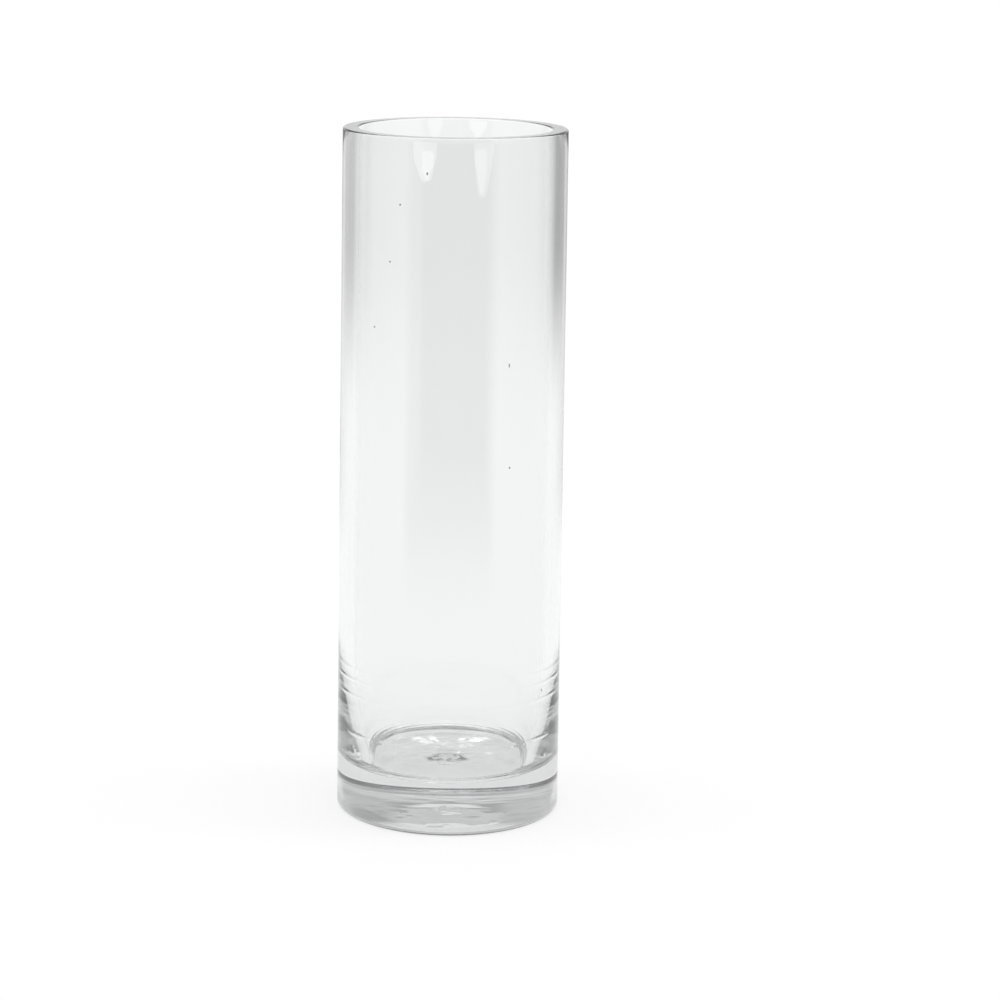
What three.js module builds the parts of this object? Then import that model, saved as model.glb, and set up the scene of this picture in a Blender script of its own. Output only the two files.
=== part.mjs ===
// Glass cylinder vase: one body of clear glass, lathe-turned about Z.
// Millimetres, +Z up, origin at the centre of the surface it stands on.
//
// The glass is made as four stacked regions that meet face to face on level
// planes: the heavy base, the lower wall that thickens towards it, the plain
// wall, and the fire-polished lip.

import * as THREE from "three";

// ---- Driving dimensions (mm) ----

const HEIGHT = 250;            // foot to rim
const BASE_RADIUS = 41;        // outside, at the foot
const RIM_RADIUS = 40;         // outside, at the rim: the wall leans in a little
const WALL = 5.6;              // plain wall thickness

const BASE_THICKNESS = 17;     // glass under the inner floor
const HEEL_RADIUS = 1.5;       // outside corner at the foot

const THICKENING_START = 62;   // height where the wall begins to thicken
const THICKENING_LEAN = 10;    // degrees the inside leans in where the fillet starts
const THICKENING_POWER = 2;    // how gently the thickening sets in
const FLOOR_FILLET = 5;        // inside corner between wall and floor

const FOOT_RING_WIDTH = 6;     // flat ring the vase stands on
const PUNT_DEPTH = 1.2;        // shallow hollow under the base
const PONTIL_RADIUS = 12;      // polished recess in the middle of the hollow
const PONTIL_DEPTH = 0.8;

const LIP_HEIGHT = 4;          // height of the lip region
const LIP_ROUNDING = 0.7;      // melted inner and outer edges of the rim

// ---- Facets ----

const AROUND = 64;             // facets round the vase
const ARC_STEPS = 6;           // steps in a rounded edge
const CURVE_STEPS = 12;        // steps in a long curve

// ---- Sizes that follow from the ones above ----

const footRingOuter = BASE_RADIUS - HEEL_RADIUS;
const puntRadius = footRingOuter - FOOT_RING_WIDTH;
const lipBottom = HEIGHT - LIP_HEIGHT;
const lean = THREE.MathUtils.degToRad(THICKENING_LEAN);
const filletTop = BASE_THICKNESS + FLOOR_FILLET * (1 - Math.sin(lean));

/** Outside radius of the wall at a height. */
function outsideRadius(z) {
  return BASE_RADIUS + (RIM_RADIUS - BASE_RADIUS) * (z / HEIGHT);
}

/** Inside radius of the wall at a height, down to the top of the floor fillet. */
function insideRadius(z) {
  const plain = outsideRadius(z) - WALL;
  if (z >= THICKENING_START) {
    return plain;
  }
  const run = THICKENING_START - filletTop;
  const added = (Math.tan(lean) * run) / THICKENING_POWER;
  const share = (THICKENING_START - z) / run;
  return plain - added * share ** THICKENING_POWER;
}

/** Points on an arc, angles in degrees, both ends included. */
function arc(centreR, centreZ, radius, fromDeg, toDeg, steps) {
  const points = [];
  for (let i = 0; i <= steps; i += 1) {
    const angle = THREE.MathUtils.degToRad(fromDeg + ((toDeg - fromDeg) * i) / steps);
    const r = centreR + radius * Math.cos(angle);
    const z = centreZ + radius * Math.sin(angle);
    points.push(new THREE.Vector2(r, z));
  }
  return points;
}

/** Points of a radius that is a function of height, both ends included. */
function wallLine(radiusAt, fromZ, toZ, steps) {
  const points = [];
  for (let i = 0; i <= steps; i += 1) {
    const z = fromZ + ((toZ - fromZ) * i) / steps;
    points.push(new THREE.Vector2(radiusAt(z), z));
  }
  return points;
}

/** Height of the underside at a radius: a shallow dome with a pontil recess. */
function undersideHeight(r) {
  let z = PUNT_DEPTH * (1 - (r / puntRadius) ** 2);
  if (r < PONTIL_RADIUS) {
    z += PONTIL_DEPTH * 0.5 * (1 + Math.cos((Math.PI * r) / PONTIL_RADIUS));
  }
  return z;
}

// ---- Profiles, anticlockwise from the lowest inner point ----

/** Heavy base: a disc with a hollowed underside and a rounded heel. */
function baseProfile() {
  const points = [];
  for (let i = 0; i <= CURVE_STEPS; i += 1) {
    const r = (puntRadius * i) / CURVE_STEPS;
    points.push(new THREE.Vector2(r, undersideHeight(r)));
  }
  points.push(...arc(footRingOuter, HEEL_RADIUS, HEEL_RADIUS, -90, 0, ARC_STEPS));
  points.push(new THREE.Vector2(outsideRadius(BASE_THICKNESS), BASE_THICKNESS));
  points.push(new THREE.Vector2(floorRadius(), BASE_THICKNESS));
  points.push(new THREE.Vector2(0, BASE_THICKNESS));
  return points;
}

/** Radius of the level inner floor, where the fillet meets it. */
function floorRadius() {
  return insideRadius(filletTop) - FLOOR_FILLET * Math.cos(lean);
}

/** Lower wall: thickens down into the fillet of the inner floor. */
function lowerWallProfile() {
  const fillet = arc(
    floorRadius(),
    BASE_THICKNESS + FLOOR_FILLET,
    FLOOR_FILLET,
    -THICKENING_LEAN,
    -90,
    CURVE_STEPS,
  );
  const inside = wallLine(insideRadius, THICKENING_START, filletTop, CURVE_STEPS);
  inside.pop();
  const points = [
    new THREE.Vector2(outsideRadius(BASE_THICKNESS), BASE_THICKNESS),
    new THREE.Vector2(outsideRadius(THICKENING_START), THICKENING_START),
    ...inside,
    ...fillet,
  ];
  points.push(points[0].clone());
  return points;
}

/** Plain wall: an even tube with a slight lean. */
function wallProfile() {
  const points = [
    new THREE.Vector2(outsideRadius(THICKENING_START), THICKENING_START),
    new THREE.Vector2(outsideRadius(lipBottom), lipBottom),
    new THREE.Vector2(insideRadius(lipBottom), lipBottom),
    new THREE.Vector2(insideRadius(THICKENING_START), THICKENING_START),
  ];
  points.push(points[0].clone());
  return points;
}

/** Lip: the top of the wall, with both edges melted round. */
function lipProfile() {
  const edge = LIP_ROUNDING;
  const edgeZ = HEIGHT - edge;
  const outer = outsideRadius(edgeZ);
  const inner = insideRadius(edgeZ);
  const points = [
    new THREE.Vector2(outsideRadius(lipBottom), lipBottom),
    ...arc(outer - edge, edgeZ, edge, 0, 90, ARC_STEPS),
    ...arc(inner + edge, edgeZ, edge, 90, 180, ARC_STEPS),
    new THREE.Vector2(insideRadius(lipBottom), lipBottom),
  ];
  points.push(points[0].clone());
  return points;
}

// ---- Solids ----

/** Turns a profile (radius, height) round the Z axis into a closed solid. */
function turned(profile) {
  const geometry = new THREE.LatheGeometry(profile, AROUND);
  geometry.rotateX(Math.PI / 2);
  return geometry;
}

/** Clear soda-lime glass with a trace of green. */
function clearGlass() {
  return new THREE.MeshStandardMaterial({
    color: 0xe6efea,
    roughness: 0.03,
    metalness: 0,
    transparent: true,
    opacity: 0.3,
  });
}

const vase = new THREE.Group();

const regions = {
  heavy_base: baseProfile(),
  lower_wall: lowerWallProfile(),
  wall: wallProfile(),
  lip: lipProfile(),
};

for (const [name, profile] of Object.entries(regions)) {
  const mesh = new THREE.Mesh(turned(profile), clearGlass());
  mesh.name = name;
  vase.add(mesh);
}

export default vase;
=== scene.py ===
"""Glass cylinder vase: a clear, heavy-based flower vase on a pale studio floor.

The vase is one body of glass. Its profile is drawn from the frame's own sizes, and a
Geometry Nodes tree turns it round the Z axis and adds the slight unevenness of
hand-finished glass. A second tree sets a few small seeds (specks) in the glass.
"""

import math

import bpy
from bpy.props import FloatProperty, FloatVectorProperty, IntProperty, PointerProperty
from mathutils import Matrix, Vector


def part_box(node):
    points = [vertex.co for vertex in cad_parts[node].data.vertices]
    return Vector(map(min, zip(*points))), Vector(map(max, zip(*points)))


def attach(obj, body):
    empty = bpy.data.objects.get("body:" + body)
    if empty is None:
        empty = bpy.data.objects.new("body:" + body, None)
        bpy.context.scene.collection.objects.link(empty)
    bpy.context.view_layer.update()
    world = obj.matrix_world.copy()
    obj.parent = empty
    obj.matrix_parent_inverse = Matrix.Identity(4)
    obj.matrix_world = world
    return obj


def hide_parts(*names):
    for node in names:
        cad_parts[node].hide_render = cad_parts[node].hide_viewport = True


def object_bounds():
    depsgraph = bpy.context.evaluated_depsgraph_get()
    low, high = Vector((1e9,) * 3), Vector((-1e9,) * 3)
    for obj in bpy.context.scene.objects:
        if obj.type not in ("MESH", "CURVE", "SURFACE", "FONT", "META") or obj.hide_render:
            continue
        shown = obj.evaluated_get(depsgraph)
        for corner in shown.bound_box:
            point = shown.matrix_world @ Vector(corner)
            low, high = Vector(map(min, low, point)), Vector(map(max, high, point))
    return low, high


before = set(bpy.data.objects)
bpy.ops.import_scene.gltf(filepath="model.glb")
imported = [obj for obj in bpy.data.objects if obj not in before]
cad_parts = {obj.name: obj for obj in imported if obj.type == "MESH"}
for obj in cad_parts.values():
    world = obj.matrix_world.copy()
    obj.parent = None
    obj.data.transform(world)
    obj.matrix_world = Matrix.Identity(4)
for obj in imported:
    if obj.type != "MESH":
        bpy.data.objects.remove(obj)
CAD_LOW, CAD_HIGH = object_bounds()

bl_info = {
    "name": "Glass Cylinder Vase",
    "version": (1, 0, 0),
    "blender": (4, 5, 0),
    "location": "3D View > Sidebar > Vase",
    "description": "Builds a clear glass cylinder vase with a heavy base in a plain studio",
    "category": "Add Mesh",
}

BASE_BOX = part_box("heavy_base")
LOWER_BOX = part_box("lower_wall")
LIP_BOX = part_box("lip")
MM = 0.001
BODY = "root"
GLASS_NODES = ("heavy_base", "lower_wall", "wall", "lip")

# Faint rings where the glass settled in the mould: height in mm and strength.
SETTLE_RINGS = ((30.5, 1.0), (45.3, 0.8), (51.3, 0.9), (55.5, 0.7))

# Seeds: angle from the front in degrees (to the right), height above the foot in mm,
# depth as a share of the wall from the outside, width and length in mm.
SEEDS = (
    (-14.3, 237.7, 0.35, 0.68, 0.98),
    (-29.0, 226.5, 0.35, 0.60, 0.75),
    (-34.7, 206.4, 0.35, 0.60, 0.68),
    (-44.6, 182.8, 0.35, 0.60, 0.68),
    (30.3, 170.7, 0.35, 0.45, 1.42),
    (31.4, 134.2, 0.35, 0.60, 0.75),
    (57.3, 49.6, 0.35, 0.68, 0.83),
    (-24.6, 7.2, 0.35, 0.52, 0.52),
    (31.4, 7.0, 0.35, 0.52, 0.52),
)
SEED_ROUNDNESS = 3  # subdivisions of the ball that each seed is made from

# Which surface a point of the profile lies on.
TRUE_FORM, INSIDE, UNDERSIDE = 0, 1, 2

# Steps of the profile on each stretch, from the middle of the underside.
UNDERSIDE_STEPS = 96
FOOT_RING_STEPS = 6
HEEL_STEPS = 14
OUTSIDE_STEPS = 24
LIP_STEPS = 10
RIM_STEPS = 4
WALL_STEPS = 40
LOWER_WALL_STEPS = 116
FILLET_STEPS = 48
FLOOR_STEPS = 28

# Unevenness: feature sizes as noise scales, per metre.
STREAK_SCALE = 70.0
STREAK_SQUASH = 0.22  # heights are squashed, so that the streaks come out upright
WAVE_SCALE = 130.0
LUMP_SCALE = 520.0
SCAR_RADIUS = 0.006
WAVE_END = (0.031, 0.022)  # the waviness fades in from the first radius to the second
WELD_DISTANCE = 2e-6
RANDOM_SEED = 3.0
RANDOM_STEP = 0.37

# Finish.
GLASS_IOR = 1.52
SEED_IOR = 2.2
SEED_TINT = (0.35, 0.37, 0.37)
SMEAR_SCALE = 38.0
SMEAR_RANGE = (0.58, 0.78)
GRIT_SCALE = 900.0
SWELL_SCALE = 60.0
SEED_GRAIN = 2500.0
BUMP_STRENGTH = 0.05
BUMP_DISTANCE = 0.0002

# Stage.
FLOOR_HALF = 30.0
FLOOR_GAP = 0.00005
BOUNCES = 96
CAMERA_DISTANCE = 1.0556
CAMERA_HEIGHT = 0.35345
CAMERA_PITCH = math.radians(12.743)
CAMERA_ROLL = math.radians(0.739)
CAMERA_LENS = 107.01
CAMERA_SENSOR = 36.0
CAMERA_SHIFT = (0.04903, 0.0)

# Soft boxes overhead, by how far they reach sideways and to the back per metre of height.
BOXES = ((-0.58, -0.12), (-0.03, 0.49), (0.73, 1.80))
BOX_DEPTH = (-0.08, 0.08)

# The ring that the glass mirrors. Angles are in degrees to the right of the front,
# heights in metres.
BELL_RADIUS = 0.33
BELL_HEIGHT = 0.24
BELL_FACES = 96
BELL_LOW = (0.0, 0.06)  # the dark sets in over these heights
BELL_HIGH = (0.08, 0.18)  # and deepens over these
DIM_FRONT_LEFT = (-44.0, -48.0)  # where the dim front turns into the paler sides
DIM_FRONT_RIGHT = (40.0, 44.0)
FRONT_END = (128.0, 118.0)  # nothing but the strips is seen further round than this
# Dim strips behind: the angles where each sets in, its brightness low down and high up.
STRIPS = ((-112.0, -142.0, 0.75, 0.55), (110.0, 140.0, 0.65, 0.38))
STRIP_ASIDE = (168.0, 156.0)
STRIP_UPPER = (0.05, 0.17)
# Bright windows: angle, half width in degrees, foot and head, brightness.
WINDOWS = ((-29.0, 12.0, 0.203, 0.225, 1.9), (27.0, 10.0, 0.1965, 0.230, 1.5))


class VaseSizes(bpy.types.PropertyGroup):
    """Sizes of the glass."""

    height: FloatProperty(
        name="Height",
        description="From the surface it stands on to the rim",
        default=LIP_BOX[1].z,
        unit="LENGTH",
    )
    foot_radius: FloatProperty(
        name="Foot radius",
        description="Outside radius at the foot, before the heel rounds off",
        default=0.0410,
        unit="LENGTH",
    )
    rim_radius: FloatProperty(
        name="Rim radius",
        description="Outside radius at the rim",
        default=0.0400,
        unit="LENGTH",
    )
    wall: FloatProperty(
        name="Wall",
        description="Thickness of the plain wall",
        default=0.0056,
        unit="LENGTH",
    )
    base: FloatProperty(
        name="Base",
        description="Thickness of the solid base",
        default=BASE_BOX[1].z,
        unit="LENGTH",
    )
    heel: FloatProperty(
        name="Heel radius",
        description="Rounding of the outside lower edge",
        default=0.0015,
        unit="LENGTH",
    )
    thickening_start: FloatProperty(
        name="Thickening start",
        description="Height where the wall begins to thicken towards the base",
        default=LOWER_BOX[1].z,
        unit="LENGTH",
    )
    lean: FloatProperty(
        name="Lean",
        description="How far the inside leans in where the floor fillet starts",
        default=math.radians(10.0),
        subtype="ANGLE",
    )
    fillet: FloatProperty(
        name="Floor fillet",
        description="Rounding between the inside wall and the floor",
        default=0.005,
        unit="LENGTH",
    )
    ring_rise: FloatProperty(
        name="Ring rise",
        description="Height of the settle rings on the inside of the lower wall",
        default=0.00004,
        unit="LENGTH",
    )
    ring_width: FloatProperty(
        name="Ring width",
        description="Half width of one settle ring",
        default=0.0006,
        unit="LENGTH",
    )
    fillet_rings: IntProperty(
        name="Fillet rings",
        description="Number of fine rings in the floor fillet",
        default=5,
        min=0,
    )
    fillet_ring_rise: FloatProperty(
        name="Fillet ring rise",
        description="Height of the fine rings in the floor fillet",
        default=0.00006,
        unit="LENGTH",
    )
    foot_ring: FloatProperty(
        name="Foot ring",
        description="Width of the flat ring that the vase stands on",
        default=0.006,
        unit="LENGTH",
    )
    punt: FloatProperty(
        name="Punt",
        description="Depth of the shallow hollow under the base",
        default=0.0012,
        unit="LENGTH",
    )
    pontil_radius: FloatProperty(
        name="Pontil radius",
        description="Radius of the recess in the middle of the hollow",
        default=0.012,
        unit="LENGTH",
    )
    pontil_depth: FloatProperty(
        name="Pontil depth",
        description="Depth of that recess",
        default=0.0008,
        unit="LENGTH",
    )
    lip: FloatProperty(
        name="Lip rounding",
        description="Rounding of the rim's inner and outer edges",
        default=0.0007,
        unit="LENGTH",
    )
    around: IntProperty(
        name="Around",
        description="Faces round the vase",
        default=240,
        min=24,
    )


class GlassLook(bpy.types.PropertyGroup):
    """Colour and unevenness of the glass, and a line of painted shade round its heel."""

    depth_tint: FloatVectorProperty(
        name="Depth tint",
        description="Colour that thick glass takes on",
        subtype="COLOR",
        size=3,
        default=(0.49, 0.492, 0.503),
        min=0.0,
        max=1.0,
    )
    skin: FloatVectorProperty(
        name="Surface tint",
        description="Share of light that a thin film on the glass lets through",
        subtype="COLOR",
        size=3,
        default=(0.952, 0.963, 0.958),
        min=0.0,
        max=1.0,
    )
    # Painted shade: the near-black base colour of a line round the heel, standing in for the
    # shade there.
    painted_heel_shade: FloatVectorProperty(
        name="Painted heel shade",
        description="Share of light let through by the worn line round the heel",
        subtype="COLOR",
        size=3,
        default=(0.07, 0.07, 0.073),
        min=0.0,
        max=1.0,
    )
    depth: FloatProperty(
        name="Depth",
        description="How fast the glass takes on that colour, per metre",
        default=6.0,
        min=0.0,
    )
    ripple: FloatProperty(
        name="Ripple",
        description="Unevenness of the inside wall",
        default=0.00003,
        unit="LENGTH",
    )
    base_ripple: FloatProperty(
        name="Base ripple",
        description="Unevenness of the underside",
        default=0.00025,
        unit="LENGTH",
    )
    scar: FloatProperty(
        name="Scar",
        description="Unevenness of the pontil mark",
        default=0.0011,
        unit="LENGTH",
    )


class StudioLook(bpy.types.PropertyGroup):
    """Floor and light."""

    floor_colour: FloatVectorProperty(
        name="Floor",
        description="Colour of the floor",
        subtype="COLOR",
        size=3,
        default=(0.25, 0.25, 0.25),
        min=0.0,
        max=1.0,
    )
    floor_glow: FloatProperty(
        name="Floor glow",
        description="Light that the white light table gives off by itself",
        default=0.745,
        min=0.0,
    )
    room_light: FloatProperty(
        name="Room light",
        description="Strength of the soft light from all round",
        default=0.75,
        min=0.0,
    )
    horizon_light: FloatProperty(
        name="Horizon light",
        description="Extra light from close to the horizon",
        default=0.25,
        min=0.0,
    )
    dim_band: FloatProperty(
        name="Dim band",
        description="How much dimmer the room is a little above the horizon",
        default=0.28,
        min=0.0,
    )
    overhead_light: FloatProperty(
        name="Overhead light",
        description="Extra light from above",
        default=0.30,
        min=0.0,
    )
    box_light: FloatProperty(
        name="Soft boxes",
        description="Brightness of the soft boxes overhead",
        default=4.0,
        min=0.0,
    )


# ---------------------------------------------------------------------------
# Profile
# ---------------------------------------------------------------------------


def arc(centre_r, centre_z, radius, start, end, steps):
    """Points on an arc, angles in radians, without its first point."""
    points = []
    for i in range(1, steps + 1):
        angle = start + (end - start) * i / steps
        points.append((centre_r + radius * math.cos(angle), centre_z + radius * math.sin(angle)))
    return points


def line(start, end, steps):
    """Evenly spaced points on a line, without its first point."""
    (r0, z0), (r1, z1) = start, end
    return [(r0 + (r1 - r0) * i / steps, z0 + (z1 - z0) * i / steps) for i in range(1, steps + 1)]


def outside_radius(s, z):
    """Outside radius at a height, before the heel and the lip round off."""
    return s.foot_radius + (s.rim_radius - s.foot_radius) * z / s.height


def vase_profile(s):
    """The vase's half section as (radius, height, weight) points.

    It runs from the middle of the underside, out, up the outside, over the lip and
    down the inside to the middle of the floor. The weight says which surface it is.
    """

    def outside(z):
        return outside_radius(s, z)

    lean_sin = math.sin(s.lean)
    fillet_top = s.base + s.fillet * (1.0 - lean_sin)
    run = s.thickening_start - fillet_top
    added = math.tan(s.lean) * run / 2.0

    def inside(z):
        plain = outside(z) - s.wall
        if z >= s.thickening_start:
            return plain
        rings = sum(
            strength * math.exp(-(((z - height * MM) / s.ring_width) ** 2))
            for height, strength in SETTLE_RINGS
        )
        return plain - added * ((s.thickening_start - z) / run) ** 2 - s.ring_rise * rings

    ring_outer = s.foot_radius - s.heel
    ring_inner = ring_outer - s.foot_ring

    def underside(r):
        z = s.punt * (1.0 - (r / ring_inner) ** 2)
        if r < s.pontil_radius:
            z += s.pontil_depth * 0.5 * (1.0 + math.cos(math.pi * r / s.pontil_radius))
        return z

    points = []

    def add(new, weight):
        points.extend((r, z, weight) for r, z in new)

    for i in range(UNDERSIDE_STEPS + 1):
        r = ring_inner * i / UNDERSIDE_STEPS
        points.append((r, underside(r), UNDERSIDE))
    add(line((ring_inner, 0.0), (ring_outer, 0.0), FOOT_RING_STEPS), TRUE_FORM)
    add(arc(ring_outer, s.heel, s.heel, -math.pi / 2, 0.0, HEEL_STEPS), TRUE_FORM)

    edge_z = s.height - s.lip
    outer = outside(edge_z)
    inner = outer - s.wall
    add(line((s.foot_radius, s.heel), (outer, edge_z), OUTSIDE_STEPS), TRUE_FORM)
    add(arc(outer - s.lip, edge_z, s.lip, 0.0, math.pi / 2, LIP_STEPS), TRUE_FORM)
    add(line((outer - s.lip, s.height), (inner + s.lip, s.height), RIM_STEPS), TRUE_FORM)
    add(arc(inner + s.lip, edge_z, s.lip, math.pi / 2, math.pi, LIP_STEPS), TRUE_FORM)

    for top, bottom, steps in (
        (edge_z, s.thickening_start, WALL_STEPS),
        (s.thickening_start, fillet_top, LOWER_WALL_STEPS),
    ):
        for i in range(1, steps + 1):
            z = top + (bottom - top) * i / steps
            points.append((inside(z), z, INSIDE))
    floor_r = inside(fillet_top) - s.fillet * math.cos(s.lean)
    for i in range(1, FILLET_STEPS + 1):
        share = i / FILLET_STEPS
        angle = -s.lean + (s.lean - math.pi / 2) * share
        wave = math.sin(math.tau * s.fillet_rings * share) * math.sin(math.pi * share)
        radius = s.fillet - s.fillet_ring_rise * wave
        z = s.base + s.fillet + radius * math.sin(angle)
        points.append((floor_r + radius * math.cos(angle), z, INSIDE))
    add(line((floor_r, s.base), (0.0, s.base), FLOOR_STEPS), TRUE_FORM)
    return points


# ---------------------------------------------------------------------------
# Node helpers
# ---------------------------------------------------------------------------


def add_node(tree, kind, at=(0, 0), **settings):
    """A new node with its plain settings."""
    node = tree.nodes.new(kind)
    node.location = at
    for key, value in settings.items():
        setattr(node, key, value)
    return node


def math_node(tree, operation, first, second=None, third=None, at=(0, 0)):
    """A Math node fed by sockets or numbers; returns its output."""
    node = add_node(tree, "ShaderNodeMath", at, operation=operation)
    for socket, value in zip(node.inputs, (first, second, third)):
        if value is None:
            continue
        if isinstance(value, bpy.types.NodeSocket):
            tree.links.new(value, socket)
        else:
            socket.default_value = value
    return node.outputs[0]


def smooth_step(tree, value, low, high, kind="SMOOTHSTEP"):
    """0 at low, 1 at high, with a soft change between; low may be the larger one."""
    node = add_node(tree, "ShaderNodeMapRange", interpolation_type=kind)
    tree.links.new(value, node.inputs["Value"])
    node.inputs["From Min"].default_value = low
    node.inputs["From Max"].default_value = high
    return node.outputs[0]


def between(tree, value, low, high, soft):
    """1 from low to high, falling to 0 over a soft edge outside."""
    rise = smooth_step(tree, value, low - soft, low)
    fall = smooth_step(tree, value, high + soft, high)
    return math_node(tree, "MULTIPLY", rise, fall)


def group_socket(tree, name, kind, default=None, out=False):
    """A named input or output of a node group."""
    side = "OUTPUT" if out else "INPUT"
    socket = tree.interface.new_socket(name=name, in_out=side, socket_type=kind)
    if default is not None:
        socket.default_value = default


def set_inputs(modifier, values):
    """Sets a Geometry Nodes modifier's inputs by socket identifier."""
    for item in modifier.node_group.interface.items_tree:
        if item.item_type == "SOCKET" and item.in_out == "INPUT" and item.name in values:
            modifier[item.identifier] = values[item.name]


def realised(name, source, tree, values):
    """Runs a tree on a source mesh once and keeps the result as a plain mesh piece."""
    modifier = source.modifiers.new("Shape", "NODES")
    modifier.node_group = tree
    set_inputs(modifier, values)
    graph = bpy.context.evaluated_depsgraph_get()
    mesh = bpy.data.meshes.new_from_object(source.evaluated_get(graph), depsgraph=graph)
    source.modifiers.remove(modifier)
    bpy.data.objects.remove(source)
    mesh.name = name
    piece = bpy.data.objects.new(name, mesh)
    bpy.context.scene.collection.objects.link(piece)
    return piece


def source_object(name, points, attributes):
    """A loose-point mesh that a tree starts from, with its float attributes."""
    mesh = bpy.data.meshes.new(name)
    mesh.from_pydata(points, [], [])
    for key, values in attributes.items():
        layer = mesh.attributes.new(key, "FLOAT", "POINT")
        layer.data.foreach_set("value", values)
    obj = bpy.data.objects.new(name, mesh)
    bpy.context.scene.collection.objects.link(obj)
    return obj


# ---------------------------------------------------------------------------
# Geometry Nodes: glass turned from a profile
# ---------------------------------------------------------------------------


def noise(tree, vector, scale, detail, at):
    """Noise centred on zero, from about -0.5 to 0.5."""
    node = add_node(tree, "ShaderNodeTexNoise", at, noise_dimensions="3D")
    node.inputs["Scale"].default_value = scale
    node.inputs["Detail"].default_value = detail
    node.inputs["Roughness"].default_value = 0.5
    tree.links.new(vector, node.inputs["Vector"])
    return math_node(tree, "SUBTRACT", node.outputs[0], 0.5, at=(at[0] + 180, at[1]))


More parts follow.
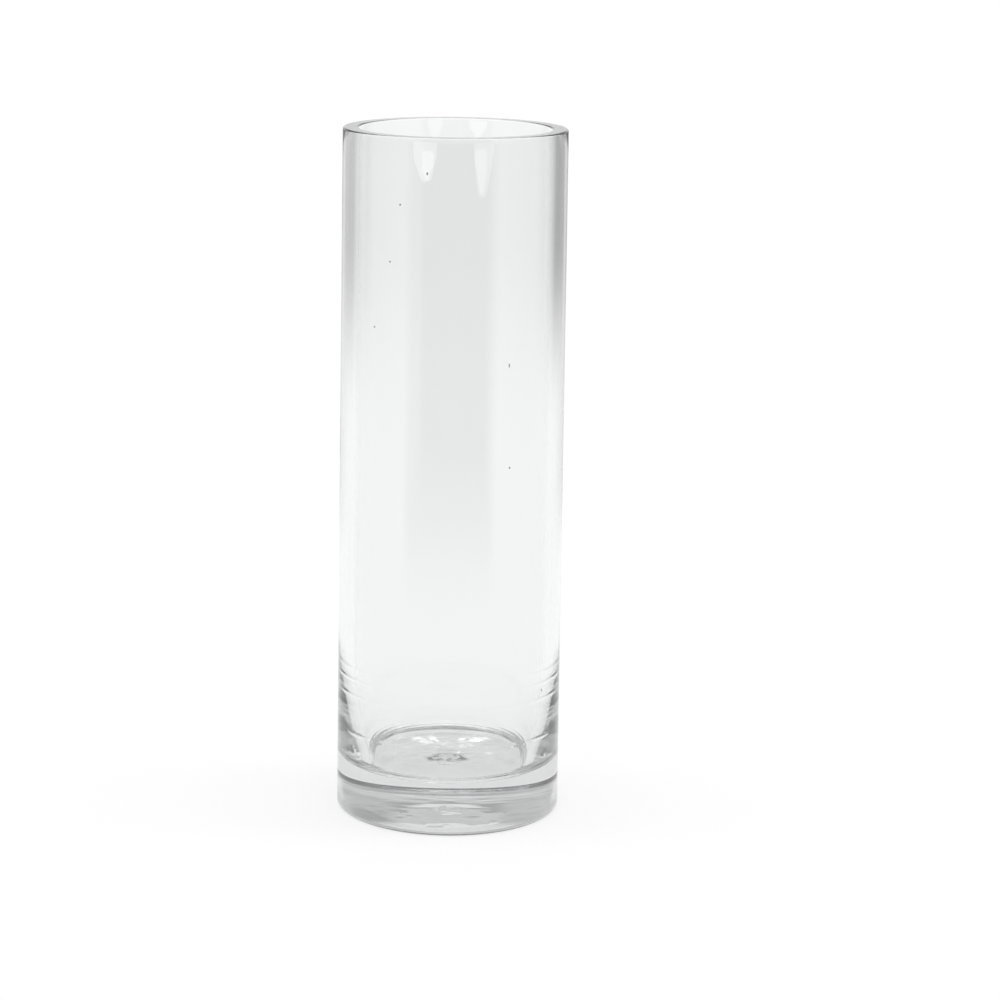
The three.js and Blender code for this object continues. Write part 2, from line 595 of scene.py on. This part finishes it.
def turning_tree():
    """Turns a profile of points (x radius, z height) round Z and makes it uneven."""
    tree = bpy.data.node_groups.new("Turn glass", "GeometryNodeTree")
    group_socket(tree, "Geometry", "NodeSocketGeometry")
    group_socket(tree, "Geometry", "NodeSocketGeometry", out=True)
    group_socket(tree, "Around", "NodeSocketInt", 240)
    group_socket(tree, "Profile points", "NodeSocketInt", 2)
    group_socket(tree, "Ripple", "NodeSocketFloat", 0.0)
    group_socket(tree, "Base ripple", "NodeSocketFloat", 0.0)
    group_socket(tree, "Scar", "NodeSocketFloat", 0.0)
    group_socket(tree, "Scar radius", "NodeSocketFloat", SCAR_RADIUS)
    group_socket(tree, "Seed", "NodeSocketFloat", RANDOM_SEED)
    group_socket(tree, "Glass", "NodeSocketMaterial")
    links = tree.links
    given = add_node(tree, "NodeGroupInput", (-1800, 0))
    result = add_node(tree, "NodeGroupOutput", (2400, 0))

    columns = math_node(tree, "ADD", given.outputs["Around"], 1.0, at=(-1600, 300))
    grid = add_node(tree, "GeometryNodeMeshGrid", (-1400, 300))
    links.new(columns, grid.inputs["Vertices X"])
    links.new(given.outputs["Profile points"], grid.inputs["Vertices Y"])

    # Each column of the grid is one copy of the profile.
    index = add_node(tree, "GeometryNodeInputIndex", (-1600, -200)).outputs[0]
    rows = given.outputs["Profile points"]
    middle = math_node(tree, "ADD", index, 0.5)
    column = math_node(tree, "FLOOR", math_node(tree, "DIVIDE", middle, rows))
    row = math_node(tree, "SUBTRACT", index, math_node(tree, "MULTIPLY", column, rows))
    share = math_node(tree, "DIVIDE", column, given.outputs["Around"])
    turn = math_node(tree, "MULTIPLY", share, math.tau)

    position = add_node(tree, "GeometryNodeInputPosition", (-1400, -500))
    point = add_node(tree, "GeometryNodeSampleIndex", (-1000, -300), data_type="FLOAT_VECTOR")
    links.new(given.outputs["Geometry"], point.inputs["Geometry"])
    links.new(position.outputs[0], point.inputs["Value"])
    links.new(row, point.inputs["Index"])
    parts = add_node(tree, "ShaderNodeSeparateXYZ", (-800, -300))
    links.new(point.outputs[0], parts.inputs[0])
    radius, height = parts.outputs["X"], parts.outputs["Z"]

    named = add_node(tree, "GeometryNodeInputNamedAttribute", (-1400, -700), data_type="FLOAT")
    named.inputs["Name"].default_value = "surface"
    kind = add_node(tree, "GeometryNodeSampleIndex", (-1000, -600), data_type="FLOAT")
    links.new(given.outputs["Geometry"], kind.inputs["Geometry"])
    links.new(named.outputs["Attribute"], kind.inputs["Value"])
    links.new(row, kind.inputs["Index"])
    surface = kind.outputs[0]
    is_inside = math_node(tree, "COMPARE", surface, float(INSIDE), 0.1)
    is_under = math_node(tree, "COMPARE", surface, float(UNDERSIDE), 0.1)

    turn_x = math_node(tree, "COSINE", turn)
    turn_y = math_node(tree, "SINE", turn)
    true_x = math_node(tree, "MULTIPLY", radius, turn_x)
    true_y = math_node(tree, "MULTIPLY", radius, turn_y)
    true_place = add_node(tree, "ShaderNodeCombineXYZ", (0, -300))
    for value, socket in zip((true_x, true_y, height), true_place.inputs):
        links.new(value, socket)

    # The inside wall wanders in long upright streaks.
    seed = given.outputs["Seed"]
    streak_place = add_node(tree, "ShaderNodeCombineXYZ", (200, -700))
    offset = math_node(tree, "MULTIPLY", seed, RANDOM_STEP)
    links.new(math_node(tree, "ADD", true_x, offset), streak_place.inputs[0])
    links.new(true_y, streak_place.inputs[1])
    squashed = math_node(tree, "MULTIPLY", height, STREAK_SQUASH)
    links.new(squashed, streak_place.inputs[2])
    streak = noise(tree, streak_place.outputs[0], STREAK_SCALE, 1.0, (400, -700))
    streak_shift = math_node(tree, "MULTIPLY", streak, given.outputs["Ripple"])
    inner_shift = math_node(tree, "MULTIPLY", streak_shift, is_inside)
    new_radius = math_node(tree, "ADD", radius, inner_shift)

    # The underside is wavy, with a rough scar in the middle.
    under_place = add_node(tree, "ShaderNodeVectorMath", (200, -1000), operation="ADD")
    links.new(true_place.outputs[0], under_place.inputs[0])
    links.new(seed, under_place.inputs[1])
    wave = noise(tree, under_place.outputs[0], WAVE_SCALE, 1.5, (400, -1000))
    lump = noise(tree, under_place.outputs[0], LUMP_SCALE, 3.0, (400, -1300))
    edge = add_node(tree, "ShaderNodeMapRange", (400, -1500), interpolation_type="SMOOTHSTEP")
    links.new(radius, edge.inputs["Value"])
    links.new(given.outputs["Scar radius"], edge.inputs["From Min"])
    edge.inputs["From Max"].default_value = 0.0
    edge.inputs["To Min"].default_value = 0.0
    edge.inputs["To Max"].default_value = 1.0
    fade = smooth_step(tree, radius, *WAVE_END)
    wave_rise = math_node(tree, "MULTIPLY", wave, given.outputs["Base ripple"])
    wave_rise = math_node(tree, "MULTIPLY", wave_rise, fade)
    lump_rise = math_node(tree, "MULTIPLY", lump, given.outputs["Scar"])
    lump_rise = math_node(tree, "MULTIPLY", lump_rise, edge.outputs[0])
    rise = math_node(tree, "MULTIPLY", math_node(tree, "ADD", wave_rise, lump_rise), is_under)
    new_height = math_node(tree, "ADD", height, rise)

    place = add_node(tree, "ShaderNodeCombineXYZ", (1200, -300))
    links.new(math_node(tree, "MULTIPLY", new_radius, turn_x), place.inputs[0])
    links.new(math_node(tree, "MULTIPLY", new_radius, turn_y), place.inputs[1])
    links.new(new_height, place.inputs[2])

    # Place, weld and finish.
    moved = add_node(tree, "GeometryNodeSetPosition", (1400, 200))
    links.new(grid.outputs["Mesh"], moved.inputs["Geometry"])
    links.new(place.outputs[0], moved.inputs["Position"])
    welded = add_node(tree, "GeometryNodeMergeByDistance", (1600, 200))
    welded.inputs["Distance"].default_value = WELD_DISTANCE
    links.new(moved.outputs[0], welded.inputs["Geometry"])
    smooth = add_node(tree, "GeometryNodeSetShadeSmooth", (1800, 200))
    links.new(welded.outputs[0], smooth.inputs["Geometry"])
    real = add_node(tree, "GeometryNodeRealizeInstances", (2000, 200))
    links.new(smooth.outputs[0], real.inputs[0])
    painted = add_node(tree, "GeometryNodeSetMaterial", (2200, 200))
    links.new(real.outputs[0], painted.inputs["Geometry"])
    links.new(given.outputs["Glass"], painted.inputs["Material"])
    links.new(painted.outputs[0], result.inputs[0])
    return tree


def seed_tree():
    """Sets a small egg-shaped seed on each point, stretched along the wall."""
    tree = bpy.data.node_groups.new("Glass seeds", "GeometryNodeTree")
    group_socket(tree, "Geometry", "NodeSocketGeometry")
    group_socket(tree, "Geometry", "NodeSocketGeometry", out=True)
    group_socket(tree, "Roundness", "NodeSocketInt", 2)
    group_socket(tree, "Glass", "NodeSocketMaterial")
    links = tree.links
    given = add_node(tree, "NodeGroupInput", (-600, 0))
    result = add_node(tree, "NodeGroupOutput", (1000, 0))
    egg = add_node(tree, "GeometryNodeMeshIcoSphere", (-400, -200))
    egg.inputs["Radius"].default_value = 0.5
    links.new(given.outputs["Roundness"], egg.inputs["Subdivisions"])
    smooth = add_node(tree, "GeometryNodeSetShadeSmooth", (-200, -200))
    links.new(egg.outputs["Mesh"], smooth.inputs["Geometry"])
    sizes = add_node(tree, "ShaderNodeCombineXYZ", (-200, -400))
    for name, socket in (("wide", "X"), ("wide", "Y"), ("tall", "Z")):
        named = add_node(tree, "GeometryNodeInputNamedAttribute", (-400, -500), data_type="FLOAT")
        named.inputs["Name"].default_value = name
        links.new(named.outputs["Attribute"], sizes.inputs[socket])
    placed = add_node(tree, "GeometryNodeInstanceOnPoints", (100, 0))
    links.new(given.outputs["Geometry"], placed.inputs["Points"])
    links.new(smooth.outputs[0], placed.inputs["Instance"])
    links.new(sizes.outputs[0], placed.inputs["Scale"])
    real = add_node(tree, "GeometryNodeRealizeInstances", (400, 0))
    links.new(placed.outputs[0], real.inputs[0])
    painted = add_node(tree, "GeometryNodeSetMaterial", (700, 0))
    links.new(real.outputs[0], painted.inputs["Geometry"])
    links.new(given.outputs["Glass"], painted.inputs["Material"])
    links.new(painted.outputs[0], result.inputs[0])
    return tree


# ---------------------------------------------------------------------------
# Materials
# ---------------------------------------------------------------------------


def marks_and_heel_shade():
    """Shader group: faint smears and scuffs on the foot, and a dark line of painted shade round
    the heel.
    """
    tree = bpy.data.node_groups.new("Handling marks and heel shade", "ShaderNodeTree")
    group_socket(tree, "Vector", "NodeSocketVector")
    group_socket(tree, "Smear", "NodeSocketFloat", 0.02)
    group_socket(tree, "Scuff", "NodeSocketFloat", 0.25)
    group_socket(tree, "Foot height", "NodeSocketFloat", 0.0004)
    group_socket(tree, "Heel shade height", "NodeSocketFloat", 0.0008)
    group_socket(tree, "Heel shade radius", "NodeSocketFloat", 0.0375)
    group_socket(tree, "Roughness", "NodeSocketFloat", out=True)
    group_socket(tree, "Height", "NodeSocketFloat", out=True)
    group_socket(tree, "Heel shade", "NodeSocketFloat", out=True)
    links = tree.links
    given = add_node(tree, "NodeGroupInput", (-1000, 0))
    result = add_node(tree, "NodeGroupOutput", (900, 0))
    cloud = add_node(tree, "ShaderNodeTexNoise", (-700, 200))
    cloud.inputs["Scale"].default_value = SMEAR_SCALE
    cloud.inputs["Detail"].default_value = 4.0
    links.new(given.outputs["Vector"], cloud.inputs["Vector"])
    smear = smooth_step(tree, cloud.outputs[0], *SMEAR_RANGE)
    smeared = math_node(tree, "MULTIPLY", smear, given.outputs["Smear"], at=(-200, 200))

    parts = add_node(tree, "ShaderNodeSeparateXYZ", (-700, -300))
    links.new(given.outputs["Vector"], parts.inputs[0])
    height = parts.outputs["Z"]
    low = math_node(tree, "LESS_THAN", height, given.outputs["Foot height"], at=(-450, -300))
    grit = add_node(tree, "ShaderNodeTexNoise", (-700, -600))
    grit.inputs["Scale"].default_value = GRIT_SCALE
    grit.inputs["Detail"].default_value = 2.0
    links.new(given.outputs["Vector"], grit.inputs["Vector"])
    scratched = math_node(tree, "MULTIPLY", grit.outputs[0], low, at=(-200, -300))
    scuffed = math_node(tree, "MULTIPLY", scratched, given.outputs["Scuff"], at=(0, -300))
    rough = math_node(tree, "ADD", smeared, scuffed, at=(300, 0))
    links.new(rough, result.inputs["Roughness"])

    # Painted shade: a dark line round the heel, mottled by the grit noise.
    level = add_node(tree, "ShaderNodeVectorMath", (-450, -1200), operation="MULTIPLY")
    level.inputs[1].default_value = (1.0, 1.0, 0.0)
    links.new(given.outputs["Vector"], level.inputs[0])
    away = add_node(tree, "ShaderNodeVectorMath", (-250, -1200), operation="LENGTH")
    links.new(level.outputs[0], away.inputs[0])
    near_foot = math_node(tree, "LESS_THAN", height, given.outputs["Heel shade height"])
    outside = math_node(tree, "GREATER_THAN", away.outputs["Value"], given.outputs["Heel shade radius"])
    heel_mottle = math_node(tree, "MULTIPLY_ADD", grit.outputs[0], 0.5, 0.75)
    film = math_node(tree, "MULTIPLY", near_foot, outside)
    film = math_node(tree, "MULTIPLY", film, heel_mottle)
    links.new(film, result.inputs["Heel shade"])

    swell = add_node(tree, "ShaderNodeTexNoise", (-700, -900))
    swell.inputs["Scale"].default_value = SWELL_SCALE
    swell.inputs["Detail"].default_value = 1.0
    links.new(given.outputs["Vector"], swell.inputs["Vector"])
    relief = math_node(tree, "ADD", swell.outputs[0], scratched, at=(300, -600))
    links.new(relief, result.inputs["Height"])
    return tree


def clear_glass(look, marks):
    """Clear soda-lime glass with a trace of green at its surface, greyer in its depth, and a dark
    line of painted shade round the heel.
    """
    material = bpy.data.materials.new("Clear soda glass")
    material.use_nodes = True
    tree = material.node_tree
    shader = tree.nodes["Principled BSDF"]
    shader.inputs["Roughness"].default_value = 0.0
    shader.inputs["IOR"].default_value = GLASS_IOR
    shader.inputs["Transmission Weight"].default_value = 1.0
    group = add_node(tree, "ShaderNodeGroup", (-600, 0), node_tree=marks)
    place = add_node(tree, "ShaderNodeTexCoord", (-800, 0))
    tree.links.new(place.outputs["Object"], group.inputs["Vector"])
    tree.links.new(group.outputs["Roughness"], shader.inputs["Roughness"])
    # The base colour mixes from the surface tint to the painted heel shade on the line round the
    # heel.
    blend = add_node(tree, "ShaderNodeMix", (-300, 200), data_type="RGBA")
    colour_inputs = [socket for socket in blend.inputs if socket.type == "RGBA"]
    colour_inputs[0].default_value = (*look.skin, 1.0)
    colour_inputs[1].default_value = (*look.painted_heel_shade, 1.0)
    tree.links.new(group.outputs["Heel shade"], blend.inputs[0])
    mixed = next(socket for socket in blend.outputs if socket.type == "RGBA")
    tree.links.new(mixed, shader.inputs["Base Color"])
    bump = add_node(tree, "ShaderNodeBump", (-300, -200))
    bump.inputs["Strength"].default_value = BUMP_STRENGTH
    bump.inputs["Distance"].default_value = BUMP_DISTANCE
    tree.links.new(group.outputs["Height"], bump.inputs["Height"])
    tree.links.new(bump.outputs["Normal"], shader.inputs["Normal"])
    depth = add_node(tree, "ShaderNodeVolumeAbsorption", (0, -300))
    depth.inputs["Color"].default_value = (*look.depth_tint, 1.0)
    depth.inputs["Density"].default_value = look.depth
    tree.links.new(depth.outputs[0], tree.nodes["Material Output"].inputs["Volume"])
    return material


def seed_glass():
    """Dark glass of a seed, denser than the glass round it."""
    material = bpy.data.materials.new("Seed glass")
    material.use_nodes = True
    tree = material.node_tree
    shader = tree.nodes["Principled BSDF"]
    shader.inputs["Base Color"].default_value = (*SEED_TINT, 1.0)
    shader.inputs["IOR"].default_value = SEED_IOR
    shader.inputs["Transmission Weight"].default_value = 1.0
    cloud = add_node(tree, "ShaderNodeTexNoise", (-600, 0))
    cloud.inputs["Scale"].default_value = SEED_GRAIN
    place = add_node(tree, "ShaderNodeTexCoord", (-800, 0))
    tree.links.new(place.outputs["Object"], cloud.inputs["Vector"])
    rough = math_node(tree, "MULTIPLY", cloud.outputs[0], 0.1, at=(-300, 0))
    tree.links.new(rough, shader.inputs["Roughness"])
    return material


def bell_paint():
    """What the glass mirrors: a dim room in front, paler sides and two bright windows."""
    material = bpy.data.materials.new("Dim room")
    material.use_nodes = True
    tree = material.node_tree
    tree.nodes.remove(tree.nodes["Principled BSDF"])
    place = add_node(tree, "ShaderNodeTexCoord")
    parts = add_node(tree, "ShaderNodeSeparateXYZ")
    tree.links.new(place.outputs["Object"], parts.inputs[0])
    height = parts.outputs["Z"]
    # Angle round the vase: 0 at the front, positive to the right, in degrees.
    front = math_node(tree, "MULTIPLY", parts.outputs["Y"], -1.0)
    turn = math_node(tree, "ARCTAN2", parts.outputs["X"], front)
    angle = math_node(tree, "MULTIPLY", turn, 180.0 / math.pi)

    def mixed(first, second, share):
        """From first to second by share."""
        gap = math_node(tree, "SUBTRACT", second, first)
        return math_node(tree, "MULTIPLY_ADD", gap, share, first)

    low = smooth_step(tree, height, *BELL_LOW)
    high = smooth_step(tree, height, *BELL_HIGH)
    dim = math_node(tree, "MULTIPLY_ADD", low, -0.70, 0.95)
    dim = math_node(tree, "MULTIPLY_ADD", high, -0.25, dim)
    pale = math_node(tree, "MULTIPLY_ADD", high, -0.45, 1.0)
    left = smooth_step(tree, angle, *DIM_FRONT_LEFT)
    right = smooth_step(tree, angle, *DIM_FRONT_RIGHT)
    light = mixed(dim, pale, math_node(tree, "ADD", left, right))
    # Two dim strips behind show along the upright edges of the outside, and higher up
    # in the edges of the wall too.
    path = add_node(tree, "ShaderNodeLightPath")
    outer = math_node(tree, "LESS_THAN", path.outputs["Transmission Depth"], 0.5)
    away = math_node(tree, "ABSOLUTE", angle)
    aside = smooth_step(tree, away, *STRIP_ASIDE)
    upper = smooth_step(tree, height, *STRIP_UPPER)
    outer = math_node(tree, "MAXIMUM", outer, math_node(tree, "MULTIPLY", aside, upper))
    strips = 0.0
    for start, end, low_value, high_value in STRIPS:
        edge = math_node(tree, "MULTIPLY", smooth_step(tree, angle, start, end), outer)
        edge = math_node(tree, "MULTIPLY", edge, smooth_step(tree, height, *BELL_LOW))
        light = mixed(light, mixed(low_value, high_value, high), edge)
        strips = math_node(tree, "ADD", edge, strips)
    for centre, half, foot, head, bright in WINDOWS:
        off = math_node(tree, "ABSOLUTE", math_node(tree, "SUBTRACT", angle, centre))
        rise = smooth_step(tree, height, foot, head, "LINEAR")
        edge = math_node(tree, "MULTIPLY", math_node(tree, "POWER", rise, 0.4), half)
        glow = smooth_step(tree, math_node(tree, "SUBTRACT", edge, off), -0.4, 1.2)
        light = math_node(tree, "MULTIPLY_ADD", glow, bright, light)

    shine = add_node(tree, "ShaderNodeEmission")
    tree.links.new(light, shine.inputs["Strength"])
    clear = add_node(tree, "ShaderNodeBsdfTransparent")
    mirrored = math_node(tree, "GREATER_THAN", path.outputs["Glossy Depth"], 0.5)
    ahead = smooth_step(tree, away, *FRONT_END)
    mirrored = math_node(tree, "MULTIPLY", mirrored, math_node(tree, "MAXIMUM", ahead, strips))
    blend = add_node(tree, "ShaderNodeMixShader")
    tree.links.new(mirrored, blend.inputs[0])
    tree.links.new(clear.outputs[0], blend.inputs[1])
    tree.links.new(shine.outputs[0], blend.inputs[2])
    tree.links.new(blend.outputs[0], tree.nodes["Material Output"].inputs["Surface"])
    return material


def reflection_bell():
    """An open ring round the vase that only mirror reflections see."""
    turns = [math.tau * k / BELL_FACES for k in range(BELL_FACES)]
    vertices = [
        (BELL_RADIUS * math.sin(turn), -BELL_RADIUS * math.cos(turn), z)
        for z in (0.0, BELL_HEIGHT)
        for turn in turns
    ]
    faces = []
    for k in range(BELL_FACES):
        after = (k + 1) % BELL_FACES
        faces.append((k, after, after + BELL_FACES, k + BELL_FACES))
    mesh = bpy.data.meshes.new("reflection_bell")
    mesh.from_pydata(vertices, [], faces)
    mesh.materials.append(bell_paint())
    bell = bpy.data.objects.new("reflection_bell", mesh)
    for flag in ("camera", "diffuse", "volume_scatter", "shadow"):
        setattr(bell, "visible_" + flag, False)
    bpy.context.scene.collection.objects.link(bell)


def sine(degrees):
    """Height of a direction this far above the horizon."""
    return math.sin(math.radians(degrees))


def sky(look):
    """Soft light from all round: bright at the horizon, a dim band, brighter overhead."""
    world = bpy.data.worlds.new("Soft room")
    world.use_nodes = True
    tree = world.node_tree
    background = tree.nodes["Background"]
    background.inputs["Color"].default_value = (1.0, 1.0, 1.0, 1.0)
    place = add_node(tree, "ShaderNodeTexCoord")
    parts = add_node(tree, "ShaderNodeSeparateXYZ")
    tree.links.new(place.outputs["Generated"], parts.inputs[0])
    up = math_node(tree, "MAXIMUM", parts.outputs["Z"], 0.01)
    across = math_node(tree, "DIVIDE", parts.outputs["X"], up)
    along = math_node(tree, "DIVIDE", parts.outputs["Y"], up)

    light = look.room_light
    for amount, low, high in (
        (look.horizon_light, sine(12.0), sine(8.0)),
        (look.overhead_light, sine(40.0), sine(60.0)),
    ):
        light = math_node(tree, "MULTIPLY_ADD", smooth_step(tree, up, low, high), amount, light)
    band = between(tree, up, sine(15.5), sine(20.5), 0.035)
    light = math_node(tree, "MULTIPLY_ADD", band, -look.dim_band, light)
    depth = between(tree, along, *BOX_DEPTH, 0.02)
    for low, high in BOXES:
        box = math_node(tree, "MULTIPLY", between(tree, across, low, high, 0.03), depth)
        light = math_node(tree, "MULTIPLY_ADD", box, look.box_light, light)
    tree.links.new(light, background.inputs["Strength"])
    return world


def plain_floor(colour, glow):
    """Matt white floor, lit softly from below like a light table."""
    material = bpy.data.materials.new("Pale floor")
    material.use_nodes = True
    shader = material.node_tree.nodes["Principled BSDF"]
    shader.inputs["Base Color"].default_value = (*colour, 1.0)
    shader.inputs["Emission Color"].default_value = (1.0, 1.0, 1.0, 1.0)
    shader.inputs["Emission Strength"].default_value = glow
    shader.inputs["Roughness"].default_value = 1.0
    shader.inputs["Specular IOR Level"].default_value = 0.0
    return material


# ---------------------------------------------------------------------------
# Operators
# ---------------------------------------------------------------------------


class VASE_OT_turn_glass(bpy.types.Operator):
    """Turn the glass body from its profile"""

    bl_idname = "vase.turn_glass"
    bl_label = "Turn Glass Body"

    def execute(self, context):
        scene = context.scene
        sizes, look = scene.vase_sizes, scene.vase_glass
        profile = vase_profile(sizes)
        source = source_object(
            "Vase profile",
            [(r, 0.0, z) for r, z, _ in profile],
            {"surface": [weight for _, _, weight in profile]},
        )
        glass = clear_glass(look, marks_and_heel_shade())
        piece = realised(
            "vase_glass",
            source,
            turning_tree(),
            {
                "Around": sizes.around,
                "Profile points": len(profile),
                "Ripple": look.ripple,
                "Base ripple": look.base_ripple,
                "Scar": look.scar,
                "Seed": RANDOM_SEED,
                "Glass": glass,
            },
        )
        if len(piece.data.polygons) < sizes.around * (len(profile) - 1):
            raise RuntimeError("the glass body came out with faces missing")
        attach(piece, BODY)
        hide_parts(*GLASS_NODES)
        return {"FINISHED"}


class VASE_OT_add_seeds(bpy.types.Operator):
    """Add the small seeds set in the wall"""

    bl_idname = "vase.add_seeds"
    bl_label = "Add Seeds"

    def execute(self, context):
        sizes = context.scene.vase_sizes
        points = []
        for angle, height, depth, _, _ in SEEDS:
            z = height * MM
            r = outside_radius(sizes, z) - depth * sizes.wall
            turn = math.radians(angle)
            points.append((r * math.sin(turn), -r * math.cos(turn), z))
        source = source_object(
            "Seed points",
            points,
            {"wide": [seed[3] * MM for seed in SEEDS], "tall": [seed[4] * MM for seed in SEEDS]},
        )
        values = {"Roundness": SEED_ROUNDNESS, "Glass": seed_glass()}
        piece = realised("seeds", source, seed_tree(), values)
        if not piece.data.polygons:
            raise RuntimeError("no seeds were made")
        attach(piece, BODY)
        return {"FINISHED"}


class VASE_OT_set_stage(bpy.types.Operator):
    """Set the floor, the light and the camera"""

    bl_idname = "vase.set_stage"
    bl_label = "Set Stage"

    def execute(self, context):
        scene = context.scene
        look = scene.vase_studio
        mesh = bpy.data.meshes.new("floor")
        corners = [
            (x * FLOOR_HALF, y * FLOOR_HALF, 0.0) for x, y in ((-1, -1), (1, -1), (1, 1), (-1, 1))
        ]
        mesh.from_pydata(corners, [], [(0, 1, 2, 3)])
        mesh.materials.append(plain_floor(look.floor_colour, look.floor_glow))
        floor = bpy.data.objects.new("floor", mesh)
        floor.location.z = CAD_LOW.z - FLOOR_GAP
        scene.collection.objects.link(floor)

        reflection_bell()
        scene.world = sky(look)

        camera = bpy.data.cameras.new("camera")
        camera.sensor_width = CAMERA_SENSOR
        camera.lens = CAMERA_LENS
        camera.shift_x, camera.shift_y = CAMERA_SHIFT
        camera.clip_start, camera.clip_end = 0.05, 200.0
        holder = bpy.data.objects.new("camera", camera)
        scene.collection.objects.link(holder)
        place = Matrix.Translation((0.0, -CAMERA_DISTANCE, CAMERA_HEIGHT))
        tilt = Matrix.Rotation(math.pi / 2 - CAMERA_PITCH, 4, "X")
        roll = Matrix.Rotation(CAMERA_ROLL, 4, "Z")
        holder.matrix_world = place @ tilt @ roll
        scene.camera = holder

        scene.view_settings.view_transform = "Standard"
        scene.cycles.max_bounces = BOUNCES
        scene.cycles.transmission_bounces = BOUNCES
        scene.cycles.glossy_bounces = BOUNCES
        scene.cycles.use_denoising = True
        return {"FINISHED"}


class VASE_PT_panel(bpy.types.Panel):
    """Steps of the vase, in order"""

    bl_idname = "VASE_PT_panel"
    bl_label = "Glass Vase"
    bl_space_type = "VIEW_3D"
    bl_region_type = "UI"
    bl_category = "Vase"

    def draw(self, context):
        for operator in STEPS:
            self.layout.operator(operator.bl_idname)
        scene = context.scene
        for group in (scene.vase_sizes, scene.vase_glass, scene.vase_studio):
            box = self.layout.box()
            for name in type(group).__annotations__:
                box.prop(group, name)


STEPS = (VASE_OT_turn_glass, VASE_OT_add_seeds, VASE_OT_set_stage)
CLASSES = (VaseSizes, GlassLook, StudioLook, *STEPS, VASE_PT_panel)


def register():
    """Registers the classes and the scene's settings."""
    for cls in CLASSES:
        bpy.utils.register_class(cls)
    bpy.types.Scene.vase_sizes = PointerProperty(type=VaseSizes)
    bpy.types.Scene.vase_glass = PointerProperty(type=GlassLook)
    bpy.types.Scene.vase_studio = PointerProperty(type=StudioLook)


def unregister():
    """Removes them again."""
    del bpy.types.Scene.vase_studio
    del bpy.types.Scene.vase_glass
    del bpy.types.Scene.vase_sizes
    for cls in reversed(CLASSES):
        bpy.utils.unregister_class(cls)


def main():
    register()
    bpy.ops.vase.turn_glass()
    bpy.ops.vase.add_seeds()
    bpy.ops.vase.set_stage()


if __name__ == "__main__":
    main()
